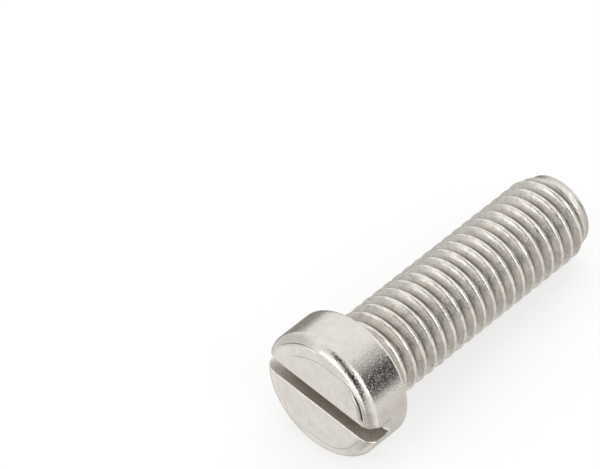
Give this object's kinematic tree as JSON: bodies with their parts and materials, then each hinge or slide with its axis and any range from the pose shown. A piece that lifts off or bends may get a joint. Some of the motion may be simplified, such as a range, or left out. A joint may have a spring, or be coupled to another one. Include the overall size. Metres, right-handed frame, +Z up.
{
  "type": "machine screw",
  "caption": "Slotted cheese-head machine screw with a right-hand metric thread, a short neck under the head and a chamfered point, lying on its side.",
  "frame": {"origin": "centre of the bearing face under the head, on the screw's axis", "axes": "+Z up as the screw lies at rest on its side, tip towards +X; the screw's axis lies in the XZ plane and dips 4.55 degrees towards the tip"},
  "size_m": [0.031, 0.0118, 0.0121],
  "materials": {
    "screw": "bright nickel plate over cold-headed and rolled steel"
  },
  "bodies": {
    "root": {"screw": "screw"}
  },
  "joints": []
}
